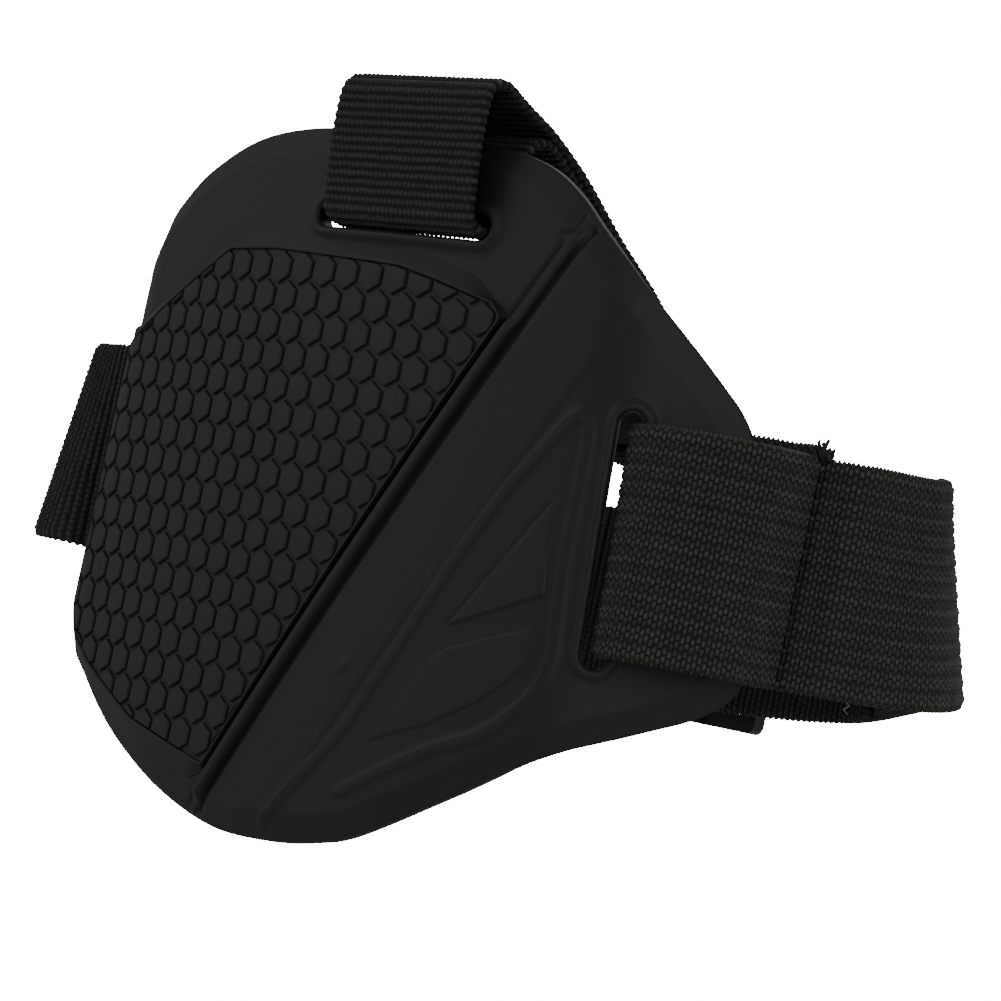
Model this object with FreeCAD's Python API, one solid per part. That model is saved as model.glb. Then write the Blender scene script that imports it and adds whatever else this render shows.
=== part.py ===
import FreeCAD, Part
import math
import os
from FreeCAD import Vector

# Strap-on shoe guard: a moulded rubber shell with three slots, elastic webbing straps looped through
# them, a side-release buckle and a strap slider.  Millimetres.  The origin is the middle of the
# opening that the shoe fills, +Z up the shell, and the shell's front faces -Y.

# ---- driving dimensions ---------------------------------------------------------------------
SHELL_FRONT_Y = -60.0       # front of the shell at its middle
SHELL_RADIUS = 267.0        # gentle curve of the middle panel about a vertical axis
SHELL_THICK = 3.0
PANEL_HALF = 57.0           # half width of the middle panel, along its curve
BEND_RADIUS = 20.0          # sharper bend where a wing turns back
BEND_ANGLE = math.radians(35.0)
WING_END = 115.0            # past the outline's outermost point

SLOT_LENGTH = 42.0
SLOT_WIDTH = 4.4
SLOT_U = 68.6               # side slots, distance from the middle along the curve
SLOT_TILT = math.radians(2.7)   # their tops lean in
LEFT_SLOT_Z = 2.4           # the left slot sits higher than the right one
SLOT_TOP = (12.3, 47.1)     # middle of the top slot: distance from the middle, and height

WEB_WIDTH = 38.0            # elastic webbing
WEB_THICK = 1.8
THREAD = 0.6                # sewing thread, and one row of it across a strap
STITCHES = 12
STITCH_LENGTH = 1.9
TOP_STRAP_X = 12.6
REAR_LOOP_X = -8.5          # the top strap leans over to here on its way back
BACK_Y = 49.0               # middle of the strap that runs behind the shoe
BACK_Z = -6.0               # middle of the buckle
SLIDER_LOW = -25.2          # lower edge of the slider
TOP_BAR = (51.8, 20.5)      # y and z of the slider's round top bar

BUCKLE_MOUTH_X = -76.0
BUCKLE_HALF = 23.0          # half width of the socket, across the webbing
BUCKLE_THICK = 13.0
CAVITY_HALF = 19.0
CAVITY_THICK = 9.2
BAR_X = -41.0               # the socket's webbing bar
BAR_RADIUS = 1.6
PLUG_GAP = 0.3
ARM_HINGE_Z = 12.7          # from the buckle's centre line
ARM_ROOT_RADIUS = 1.7
ARM_LENGTH = 24.0

# outline of the shell's front, flattened: distance from the middle along the curve, height
OUTLINE = [
    (-1, 62.4), (-19, 62.1), (-34.8, 59.6), (-49.6, 53.6), (-57.5, 48), (-63.1, 43.5),
    (-74, 34), (-83.5, 25), (-90, 13.5), (-93.8, -3), (-93.5, -18), (-84, -25.5), (-73, -29.5),
    (-63.1, -34), (-54.2, -40.8), (-40, -48.8), (-21.7, -56), (-4.1, -60), (10, -60),
    (22, -58.2), (31.8, -55), (49.7, -45), (63.1, -36.9), (79.4, -29.2), (89.3, -23.9),
    (93.8, -17.5), (93.4, -4), (90.7, 10), (86.9, 21.4), (79.1, 29.6), (63.1, 42.9),
    (55.2, 49.2), (48.8, 54.6), (41.5, 58.6), (31.2, 60.9), (15, 62.1),
]


# ---- the shell's surface --------------------------------------------------------------------
def plan_point(u, back=0.0):
    """A point on the shell's plan at distance u from the middle, set back from the front."""
    side = 1.0 if u >= 0 else -1.0
    w = abs(u)
    panel = min(w, PANEL_HALF)
    turn = panel / SHELL_RADIUS
    x = SHELL_RADIUS * math.sin(turn)
    y = SHELL_RADIUS * (1.0 - math.cos(turn))
    bend = min(max(w - PANEL_HALF, 0.0), BEND_RADIUS * BEND_ANGLE)
    after = turn + bend / BEND_RADIUS
    x += BEND_RADIUS * (math.sin(after) - math.sin(turn))
    y += BEND_RADIUS * (math.cos(turn) - math.cos(after))
    wing = max(w - PANEL_HALF - BEND_RADIUS * BEND_ANGLE, 0.0)
    x += wing * math.cos(after) - back * math.sin(after)
    y += wing * math.sin(after) + back * math.cos(after)
    return side * x, y + SHELL_FRONT_Y


def plan_wire(back):
    """Edges of the plan from the left wing's end to the right one's, set back from the front."""
    bend_end = PANEL_HALF + BEND_RADIUS * BEND_ANGLE
    bend_mid = PANEL_HALF + BEND_RADIUS * BEND_ANGLE / 2.0

    def at(u):
        x, y = plan_point(u, back)
        return Vector(x, y, 0)

    return [
        Part.LineSegment(at(-WING_END), at(-bend_end)).toShape(),
        Part.Arc(at(-bend_end), at(-bend_mid), at(-PANEL_HALF)).toShape(),
        Part.Arc(at(-PANEL_HALF), at(0.0), at(PANEL_HALF)).toShape(),
        Part.Arc(at(PANEL_HALF), at(bend_mid), at(bend_end)).toShape(),
        Part.LineSegment(at(bend_end), at(WING_END)).toShape(),
    ]


def wing_frame(side):
    """Origin on the wing's front at the slot's middle, its outward way and its front normal."""
    x, y = plan_point(side * SLOT_U)
    z = LEFT_SLOT_Z if side < 0 else 0.0
    heading = PANEL_HALF / SHELL_RADIUS + BEND_ANGLE
    along = Vector(side * math.cos(heading), math.sin(heading), 0)
    normal = Vector(side * math.sin(heading), -math.cos(heading), 0)
    return Vector(x, y, z), along, normal


def on_wing(side, s, n):
    """Plan position from distances along the wing and out from its front."""
    origin, along, normal = wing_frame(side)
    p = origin + along * s + normal * n
    return p.x, p.y


# ---- small builders -------------------------------------------------------------------------
def block(x0, x1, y0, y1, z0, z1):
    return Part.makeBox(x1 - x0, y1 - y0, z1 - z0, Vector(x0, y0, z0))


def stadium_prism(centre, long_way, short_way, length, width, depth_way, depth):
    """A slot cutter: a rounded-end bar of the given length and width, centred in depth."""
    radius = width / 2.0
    reach = length / 2.0 - radius
    start = centre - depth_way * (depth / 2.0)
    a = start + long_way * reach
    b = start - long_way * reach
    right = short_way * radius
    edges = [
        Part.LineSegment(b + right, a + right).toShape(),
        Part.Arc(a + right, a + long_way * radius, a - right).toShape(),
        Part.LineSegment(a - right, b - right).toShape(),
        Part.Arc(b - right, b - long_way * radius, b + right).toShape(),
    ]
    return Part.Face(Part.Wire(edges)).extrude(depth_way * depth)


def smooth(points, steps):
    """Points along a Catmull-Rom curve through the given ones, with any number of columns."""
    ends = [[2 * a - b for a, b in zip(points[0], points[1])]]
    tail = [[2 * a - b for a, b in zip(points[-1], points[-2])]]
    p = ends + [list(q) for q in points] + tail
    out = []
    for i in range(1, len(p) - 2):
        for k in range(steps):
            t = k / steps
            row = []
            for a, b, c, d in zip(p[i - 1], p[i], p[i + 1], p[i + 2]):
                row.append(0.5 * (2 * b + (c - a) * t + (2 * a - 5 * b + 4 * c - d) * t * t
                                  + (3 * b - a - 3 * c + d) * t ** 3))
            out.append(row)
    out.append(list(points[-1]))
    return out


def side_stations(points, steps=3):
    """Stations of a webbing whose width stands up: x, y, z of its middle and its lean."""
    rows = smooth(points, steps)
    stations = []
    for i, (x, y, z, lean) in enumerate(rows):
        before = rows[max(i - 1, 0)]
        after = rows[min(i + 1, len(rows) - 1)]
        tangent = Vector(after[0] - before[0], after[1] - before[1], 0).normalize()
        left = Vector(-tangent.y, tangent.x, 0)
        tilt = math.radians(lean)
        across = Vector(0, 0, 1) * math.cos(tilt) + left * math.sin(tilt)
        stations.append((Vector(x, y, z), across, tangent.cross(across).normalize()))
    return stations


def top_stations(points, steps=3):
    """Stations of the webbing whose width lies along X: x, y, z of its middle."""
    rows = smooth(points, steps)
    stations = []
    for i, (x, y, z) in enumerate(rows):
        before = rows[max(i - 1, 0)]
        after = rows[min(i + 1, len(rows) - 1)]
        tangent = Vector(0, after[1] - before[1], after[2] - before[2]).normalize()
        across = Vector(1, 0, 0)
        stations.append((Vector(x, y, z), across, tangent.cross(across).normalize()))
    return stations


def patch(a, b, c, d):
    """One flat face through four corners, or two where they aren't in one plane."""
    normal = (b - a).cross(c - a).normalize()
    if abs((d - a).dot(normal)) < 1e-6:
        return [Part.Face(Part.makePolygon([a, b, c, d, a]))]
    return [Part.Face(Part.makePolygon([a, b, c, a])), Part.Face(Part.makePolygon([a, c, d, a]))]


def webbing(stations):
    """A flat strap of constant width and thickness along its stations."""
    half_w = WEB_WIDTH / 2.0
    half_t = WEB_THICK / 2.0
    rings = []
    for centre, across, normal in stations:
        w = across * half_w
        t = normal * half_t
        rings.append([centre - w - t, centre + w - t, centre + w + t, centre - w + t])
    faces = patch(*rings[0]) + patch(*rings[-1])
    for near, far in zip(rings[:-1], rings[1:]):
        for k in range(4):
            m = (k + 1) % 4
            faces += patch(near[k], near[m], far[m], far[k])
    solid = Part.Solid(Part.Shell(faces))
    if solid.Volume < 0:
        solid.reverse()
    return solid


def stitch_row(station, side):
    """Thread stitches across a strap, lying on the face that side (+1 or -1) picks."""
    centre, across, normal = station
    along = across.cross(normal).normalize()
    half = THREAD / 2.0
    pitch = (WEB_WIDTH - 3.0) / STITCHES
    lift = side * (WEB_THICK / 2.0 + half + 0.06)
    stitches = []
    for k in range(STITCHES):
        v = (k - (STITCHES - 1) / 2.0) * pitch
        stitch = Part.makeBox(THREAD, THREAD, STITCH_LENGTH, Vector(-half, -half, -STITCH_LENGTH / 2.0))
        turn = FreeCAD.Rotation(along, normal, across, "ZXY")
        stitch.Placement = FreeCAD.Placement(centre + across * v + normal * lift, turn)
        stitches.append(stitch)
    return stitches


# ---- the shell ------------------------------------------------------------------------------
def outline_ribbon():
    """A band standing square to the shell's surface all round its outline."""
    p = OUTLINE
    flat = []
    for i in range(len(p)):
        a, b, c, d = (p[(i + k) % len(p)] for k in (-1, 0, 1, 2))
        for k in range(5):
            t = k / 5.0
            flat.append([0.5 * (2 * b[m] + (c[m] - a[m]) * t
                                + (2 * a[m] - 5 * b[m] + 4 * c[m] - d[m]) * t * t
                                + (3 * b[m] - a[m] - 3 * c[m] + d[m]) * t ** 3) for m in (0, 1)])
    edges = []
    for back in (-1.5, SHELL_THICK + 1.5):
        curve = Part.BSplineCurve()
        curve.interpolate(Points=[Vector(*plan_point(u, back), z) for u, z in flat], PeriodicFlag=True)
        edges.append(curve.toShape())
    return Part.makeRuledSurface(edges[0], edges[1])


def make_shield():
    front = plan_wire(0.0)
    rear = plan_wire(SHELL_THICK)
    ends = []
    for side in (-1, 1):
        a = plan_point(side * WING_END, 0.0)
        b = plan_point(side * WING_END, SHELL_THICK)
        ends.append(Part.LineSegment(Vector(a[0], a[1], 0), Vector(b[0], b[1], 0)).toShape())
    section = Part.Face(Part.Wire(Part.__sortEdges__(front + rear + ends)))
    section.translate(Vector(0, 0, -80))
    slab = section.extrude(Vector(0, 0, 160))
    pieces = slab.generalFuse([outline_ribbon()])[0].Solids
    shell = min(pieces, key=lambda piece: piece.BoundBox.ZLength)
    up = Vector(0, 0, 1)
    for side in (-1, 1):
        origin, along, normal = wing_frame(side)
        long_way = up * math.cos(SLOT_TILT) - along * math.sin(SLOT_TILT)
        short_way = along * math.cos(SLOT_TILT) + up * math.sin(SLOT_TILT)
        shell = shell.cut(stadium_prism(origin, long_way, short_way, SLOT_LENGTH, SLOT_WIDTH,
                                        normal, 20))
    x, y = plan_point(SLOT_TOP[0])
    level = Vector(1, 0, 0)
    shell = shell.cut(stadium_prism(Vector(x, y, SLOT_TOP[1]), level, up, SLOT_LENGTH, SLOT_WIDTH,
                                    Vector(0, 1, 0), 20))
    return shell.removeSplitter()


# ---- the straps: middle-line points through each strap, from its sewn end -----------------------
WING_LOOP = [  # distance out from the slot, distance in front of the wing, share of the lean
    (32, -1.6, 0), (29.2, -1.7, 0), (26.5, -4.4, 0), (20, -6.6, 0), (12, -7.2, 0), (5, -6.2, 0),
    (1.6, -4.2, 0.5), (0.6, -1.5, 1), (1.2, 1.3, 0.5), (3.6, 4.4, 0), (9, 7.2, 0), (16, 8.0, 0),
    (22, 6.6, 0), (26.5, 3.0, 0), (29.5, 0.5, 0), (33.5, 0.6, 0), (38, 1.4, 0),
]
IN_SLOT = 7                 # the loop's point inside the slot
SEAM_AT = 14                # the loop's point where its two layers are sewn together


def wing_loop(side, z_free, z_slot, z_out, bulge, lean):
    points = []
    for i, (s, n, tilt) in enumerate(WING_LOOP):
        if i < IN_SLOT:
            z = z_slot + (z_free - z_slot) * min(((IN_SLOT - i) / 4.0) ** 1.5, 1.0)
            out = 1.0
            turn = 0.0
        else:
            z = z_slot + (z_out - z_slot) * (i - IN_SLOT) / (len(WING_LOOP) - 1 - IN_SLOT)
            out = bulge if n > 2 else 1.0
            turn = lean if n > 4 else (lean / 2.0 if n > 2 else 0.0)
        x, y = on_wing(side, s, n * out)
        points.append((x, y, z, turn - side * tilt * math.degrees(SLOT_TILT)))
    return points


def right_path():
    run = [(95.8, -10, 2.5, 5), (95.6, -1.3, 3.4, 9), (90.7, 7.6, 4.4, 14),
           (82.4, 16.5, 5, 16), (70.4, 27.5, 4, 11), (56.8, 38.5, 2.2, 5), (49.4, 44.2, 1.2, 2.5),
           (41, 48.8, -0.1, 0), (33, 50.1, -1.0, 0)]
    return wing_loop(1, 3.6, 0.0, 1.6, 1.0, 0.0) + run


def back_path():
    bar_y = [47.7, 46.3, 46.4, 48.9, 51.6, 51.4, 50.4, 50.7]
    bar_x = [7.0, 2.0, -1.2, -3.0, -1.2, 2.2, 4.7, 7.4]
    run = [(45.9, 43.9, 0.5, 2.2), (40.2, 46.85, -0.5, 0.5), (33, 48.1, -1.4, 0),
           (24, 48.8, -2.2, 0), (10, BACK_Y, -3.2, 0), (-8, BACK_Y, -4.0, 0),
           (-22, BACK_Y, -5.0, 0), (-28, BACK_Y, -5.6, 0)]
    return run + [(BAR_X + x, y, BACK_Z, 0) for x, y in zip(bar_x, bar_y)]


def left_path():
    near = BUCKLE_MOUTH_X - 7.3
    over = [(near - 8.7, 45.2), (near - 3.3, 45.2), (near - 0.8, 46.3), (near, 49.1),
            (near - 0.9, 52.1), (near - 3.5, 53.3), (near - 8.7, 53.3)]
    run = [(-98, -10, 2.6, 0), (-103, 2, 1, 0), (-108, 15, -2.5, 0), (-109.5, 28, -5, 0),
           (-105.5, 38.5, BACK_Z, 0), (-99, 44, BACK_Z, 0)]
    tail = [(-99, 52.8, BACK_Z, 0), (-105.5, 50, BACK_Z, 0), (-111, 43.5, BACK_Z, 0),
            (-114.2, 34, BACK_Z, 0), (-115.2, 23, BACK_Z, 0)]
    around = [(x, y, BACK_Z, 0) for x, y in over]
    return wing_loop(-1, 6.2, LEFT_SLOT_Z, 2.4, 1.32, -7.0) + run + around + tail


TOP_LINE = [  # y and z from the sewn inner end, up through the slot, back and round the slider's bar
    (-35, 56.6), (-41, 60.6), (-45.5, 63.3), (-49, 63.8), (-51.6, 61.3), (-53, 56), (-53.1, 50.6),
    (-54.5, 47.3), (-57.6, 46.3), (-60.9, 47.7), (-61.9, 52), (-62.4, 59), (-62.7, 66),
    (-62, 70), (-58.8, 71.3), (-54.1, 69.2), (-50, 67.3), (-46, 65.3), (-38, 60.2),
    (-27.4, 52.4), (-15, 44.1), (-2, 35.6), (12, 28.8), (24, 25.8), (33, 24.8), (38, 24.4),
    (44, 24.1), (49.5, 23.9), (52.8, 23.2), (54.5, 20.8), (53.4, 18.4), (51.2, 17.7), (48.7, 18.7),
    (46.4, 20.5), (43, 21.5), (38, 22), (33, 22.4),
]


def top_path():
    points = []
    for i, (y, z) in enumerate(TOP_LINE):
        if i < 11:
            share = 0.0
        else:
            share = min(max((y + 14) / 46.0, 0.0), 1.0)
        lean = 3 * share ** 2 - 2 * share ** 3
        points.append((TOP_STRAP_X + (REAR_LOOP_X - TOP_STRAP_X) * lean, y, z))
    return points


# ---- the buckle and the slider ----------------------------------------------------------------
def at_buckle(shape):
    shape.translate(Vector(0, BACK_Y, BACK_Z))
    return shape


def make_socket():
    """The female half, in its own frame: the webbing's middle is y = 0, z = 0."""
    half = BUCKLE_HALF
    deep = BUCKLE_THICK / 2.0
    body = block(BUCKLE_MOUTH_X, BAR_X - 5, -deep, deep, -half, half)
    body = body.makeFillet(2.0, [e for e in body.Edges if abs(e.Length - 30.0) < 0.01])
    hollow = CAVITY_THICK / 2.0
    body = body.cut(block(BUCKLE_MOUTH_X - 1, BAR_X - 7, -hollow, hollow, -CAVITY_HALF,
                          CAVITY_HALF))
    for side in (-1, 1):
        z0, z1 = sorted((side * (CAVITY_HALF - 1), side * (half + 1)))
        body = body.cut(block(BUCKLE_MOUTH_X + 10, BUCKLE_MOUTH_X + 24, -hollow, hollow, z0, z1))
        z0, z1 = sorted((side * 19.6, side * 21.7))
        rail = block(BAR_X - 5.5, BAR_X + 2.4, -3.2, 3.2, z0, z1)
        body = body.fuse(rail)
    bar = Part.makeCylinder(BAR_RADIUS, 40.4, Vector(BAR_X, 0, -20.2))
    return at_buckle(body.fuse(bar).removeSplitter())


def make_plug():
    right = BUCKLE_MOUTH_X - PLUG_GAP
    base = block(BUCKLE_MOUTH_X - 20, right, -2.0, 2.0, -21.5, 21.5)
    base = base.makeFillet(1.2, [e for e in base.Edges if abs(e.Length - 43.0) < 0.01])
    for gap in (17.5, 9.7):
        left = BUCKLE_MOUTH_X - gap
        base = base.cut(block(left, left + 4.2, -3, 3, -19.6, 19.6))
    root = block(BUCKLE_MOUTH_X - 5.4, right, -4.0, 4.0, -17, 17)
    tongue = block(right - 1, BUCKLE_MOUTH_X + 23, -3.4, 3.4, -3.5, 3.5)
    plug = base.fuse([root, tongue])
    for side in (-1, 1):
        seat = Part.makeCylinder(ARM_ROOT_RADIUS + 0.1, 10, Vector(right, -5, side * ARM_HINGE_Z),
                                 Vector(0, 1, 0))
        plug = plug.cut(seat)
    return at_buckle(plug.removeSplitter())


def make_arm(side):
    """A release arm: a slim leaf with a finger pad that fills the socket's side window."""
    right = BUCKLE_MOUTH_X - PLUG_GAP
    deep = 3.9
    eye = Part.makeCylinder(ARM_ROOT_RADIUS, 2 * deep, Vector(right, -deep, ARM_HINGE_Z),
                            Vector(0, 1, 0))
    outline = [(0, ARM_HINGE_Z - ARM_ROOT_RADIUS), (ARM_LENGTH - 1.5, 11.4), (ARM_LENGTH, 12.6),
               (ARM_LENGTH, 15.5), (22.7, 18.6), (21.1, 22.3), (15.3, 22.6), (10.9, 21.2),
               (10.9, 16.2), (8.3, 14.6), (0, ARM_HINGE_Z + ARM_ROOT_RADIUS)]
    wire = Part.makePolygon([Vector(right + x, -deep, z) for x, z in outline + outline[:1]])
    arm = Part.Face(wire).extrude(Vector(0, 2 * deep, 0)).fuse(eye).removeSplitter()
    if side < 0:
        arm = arm.mirror(Vector(0, 0, 0), Vector(0, 0, 1))
    return at_buckle(arm)


def make_slider():
    """A clip that rides on the back strap: a frame outside it, a tongue inside, a bar on top."""
    x0, x1 = REAR_LOOP_X - 23.0, REAR_LOOP_X + 23.0
    y0, y1 = 50.4, 53.2
    y_bar, z_bar = TOP_BAR
    frame = block(x0, x1, y0, y1, SLIDER_LOW, z_bar + 1.9)
    frame = frame.makeFillet(1.8, [e for e in frame.Edges if abs(e.Length - (y1 - y0)) < 0.01])
    frame = frame.cut(block(x0 + 3.2, x1 - 3.2, y0 - 1, y1 + 1, SLIDER_LOW + 3.2, z_bar + 5))
    bar = Part.makeCylinder(1.5, x1 - x0 - 3, Vector(x0 + 1.5, y_bar, z_bar), Vector(1, 0, 0))
    foot = block(REAR_LOOP_X - 6, REAR_LOOP_X + 6, 45.6, y1 - 0.4, SLIDER_LOW, SLIDER_LOW + 1.5)
    tongue = block(REAR_LOOP_X - 6, REAR_LOOP_X + 6, 45.6, 47.4, SLIDER_LOW, 10)
    tongue = tongue.makeFillet(0.8, [e for e in tongue.Edges if e.CenterOfMass.z > 9.9])
    return frame.fuse([bar, foot, tongue]).removeSplitter()


# ---- make every piece -------------------------------------------------------------------------
right_stations = side_stations(right_path())
back_stations = side_stations(back_path())
left_stations = side_stations(left_path())
top_rows = top_stations(top_path())

parts = {
    "shield": make_shield(),
    "right_strap": webbing(right_stations),
    "back_strap": webbing(back_stations),
    "left_strap": webbing(left_stations),
    "top_strap": webbing(top_rows),
    "buckle_socket": make_socket(),
    "buckle_plug": make_plug(),
    "upper_release_arm": make_arm(1),
    "lower_release_arm": make_arm(-1),
    "top_strap_slider": make_slider(),
}

groups = {
    "right_seam_stitching": stitch_row(right_stations[3 * SEAM_AT + 1], 1),
    "left_seam_stitching": stitch_row(left_stations[3 * SEAM_AT + 1], -1),
    "top_seam_stitching": stitch_row(top_rows[3 * 18 - 1], -1),
    "splice_stitching": stitch_row(back_stations[3], -1),
    "socket_fold_stitching": stitch_row(back_stations[-4], -1),
    "rear_loop_stitching": stitch_row(top_rows[3 * 24], -1),
    "tail_hem_stitching": stitch_row(left_stations[-4], 1),
}

os.makedirs("parts", exist_ok=True)
for name, shape in parts.items():
    print(name, "valid", shape.isValid(), "solids", len(shape.Solids), "cm3", round(shape.Volume / 1000, 2))
    shape.exportStep("parts/" + name + ".step")
for name, stitches in groups.items():
    shape = Part.makeCompound(stitches)
    print(name, "valid", shape.isValid(), "solids", len(shape.Solids))
    shape.exportStep("parts/" + name + ".step")
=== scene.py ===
import math
import bmesh
import bpy
import numpy as np
from mathutils import Vector, Matrix
from mathutils.geometry import delaunay_2d_cdt


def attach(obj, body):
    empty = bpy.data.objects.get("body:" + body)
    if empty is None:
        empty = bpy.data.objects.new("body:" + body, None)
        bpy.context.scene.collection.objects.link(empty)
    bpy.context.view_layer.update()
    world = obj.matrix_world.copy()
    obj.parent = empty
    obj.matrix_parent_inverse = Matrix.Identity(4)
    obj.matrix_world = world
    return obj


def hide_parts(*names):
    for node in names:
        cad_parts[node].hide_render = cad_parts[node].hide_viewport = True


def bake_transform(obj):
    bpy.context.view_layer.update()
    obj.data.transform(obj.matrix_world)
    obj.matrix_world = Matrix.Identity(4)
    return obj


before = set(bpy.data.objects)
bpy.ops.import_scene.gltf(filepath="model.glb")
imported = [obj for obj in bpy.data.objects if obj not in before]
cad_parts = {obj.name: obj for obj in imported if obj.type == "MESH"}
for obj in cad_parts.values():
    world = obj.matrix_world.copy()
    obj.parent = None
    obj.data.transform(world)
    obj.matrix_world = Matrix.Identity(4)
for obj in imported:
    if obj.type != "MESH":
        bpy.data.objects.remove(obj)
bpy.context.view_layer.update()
MM = 0.001

# ---- camera -----------------------------------------------------------------------------------
AZIMUTH, ELEVATION, ROLL = math.radians(46.864), math.radians(-2.953), math.radians(12.117)
CAMERA_PLACE = (0.4946, -0.4754, -0.0287)
SENSOR, LENS = 36.0, 135.80

level = Vector((math.cos(AZIMUTH), math.sin(AZIMUTH), 0))
back = Vector((math.sin(AZIMUTH) * math.cos(ELEVATION), -math.cos(AZIMUTH) * math.cos(ELEVATION),
               math.sin(ELEVATION)))
upright = back.cross(level)
right = level * math.cos(ROLL) + upright * math.sin(ROLL)
up = upright * math.cos(ROLL) - level * math.sin(ROLL)
camera_data = bpy.data.cameras.new("camera")
camera = bpy.data.objects.new("camera", camera_data)
bpy.context.scene.collection.objects.link(camera)
camera_data.sensor_width = SENSOR
camera_data.lens = LENS
camera_data.clip_start = 0.01
camera_data.clip_end = 30
camera_matrix = Matrix((right, up, back)).transposed().to_4x4()
camera_matrix.translation = Vector(CAMERA_PLACE)
camera.matrix_world = camera_matrix
bpy.context.scene.camera = camera


# ---- materials --------------------------------------------------------------------------------
RUBBER_DARK, RUBBER_LIGHT = (0.0110, 0.0110, 0.0115), (0.0150, 0.0150, 0.0155)
PLASTIC_DARK, PLASTIC_LIGHT = (0.008, 0.008, 0.009), (0.014, 0.014, 0.015)
# painted shade: the dark tone that the webbing's colour takes in the gaps between yarns, where shade
# falls; the yarn tones below are the colour of the bead and rib tops
WEB_GAP_PAINTED_SHADE = (0.0014, 0.0014, 0.0015)
ROW_YARN_LIGHT, RIB_YARN_LIGHT = (0.094, 0.091, 0.082), (0.054, 0.053, 0.048)
BLACK_THREAD_DARK, BLACK_THREAD_LIGHT = (0.003, 0.003, 0.0035), (0.014, 0.014, 0.015)
WHITE_THREAD_DARK, WHITE_THREAD_LIGHT = (0.42, 0.41, 0.38), (0.72, 0.70, 0.66)
# every second row of yarn is shifted across the strap by this share of a yarn's width
ROW_STAGGER, RIB_STAGGER = 0.34, 0.5
# turn, in radians for each yarn, of the faint bands that run along the bead webbing
BAND_TURN = 2.95


def new_material(name):
    mat = bpy.data.materials.new(name)
    mat.use_nodes = True
    nodes = mat.node_tree.nodes
    return mat, nodes, mat.node_tree.links, nodes["Principled BSDF"]


def noise_node(nodes, links, scale, detail=4.0, rough=0.6):
    coord = nodes.new("ShaderNodeTexCoord")
    tex = nodes.new("ShaderNodeTexNoise")
    tex.inputs["Scale"].default_value = scale
    tex.inputs["Detail"].default_value = detail
    tex.inputs["Roughness"].default_value = rough
    links.new(coord.outputs["Object"], tex.inputs["Vector"])
    return tex


def ramp_between(nodes, links, source, low, high, dark, light):
    ramp = nodes.new("ShaderNodeValToRGB")
    ramp.color_ramp.elements[0].position = low
    ramp.color_ramp.elements[1].position = high
    ramp.color_ramp.elements[0].color = (*dark, 1)
    ramp.color_ramp.elements[1].color = (*light, 1)
    links.new(source, ramp.inputs["Fac"])
    return ramp


def range_node(nodes, links, source, low, high):
    node = nodes.new("ShaderNodeMapRange")
    node.inputs["To Min"].default_value = low
    node.inputs["To Max"].default_value = high
    links.new(source, node.inputs["Value"])
    return node


def add_bumps(nodes, links, shader, layers):
    """Chain bump nodes, one for each (height output, strength, distance in metres)."""
    last = None
    for source, strength, distance in layers:
        bump = nodes.new("ShaderNodeBump")
        bump.inputs["Strength"].default_value = strength
        bump.inputs["Distance"].default_value = distance
        links.new(source, bump.inputs["Height"])
        if last:
            links.new(last.outputs["Normal"], bump.inputs["Normal"])
        last = bump
    links.new(last.outputs["Normal"], shader.inputs["Normal"])


def rubber_material():
    mat, nodes, links, shader = new_material("moulded_rubber")
    cloud = noise_node(nodes, links, 55.0, 5.0)
    speck = noise_node(nodes, links, 900.0, 2.0)
    colour = ramp_between(nodes, links, cloud.outputs["Fac"], 0.3, 0.7, RUBBER_DARK, RUBBER_LIGHT)
    links.new(colour.outputs["Color"], shader.inputs["Base Color"])
    gloss = range_node(nodes, links, cloud.outputs["Fac"], 0.50, 0.62)
    links.new(gloss.outputs["Result"], shader.inputs["Roughness"])
    shader.inputs["Specular IOR Level"].default_value = 0.42
    add_bumps(nodes, links, shader, [(speck.outputs["Fac"], 0.10, 0.00012),
                                     (cloud.outputs["Fac"], 0.08, 0.0006)])
    return mat


def math_node(nodes, links, operation, a, b=None, clamp=False):
    node = nodes.new("ShaderNodeMath")
    node.operation = operation
    node.use_clamp = clamp
    for k, value in enumerate((a, b)):
        if value is None:
            continue
        if isinstance(value, (int, float)):
            node.inputs[k].default_value = value
        else:
            links.new(value, node.inputs[k])
    return node.outputs[0]


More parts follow.
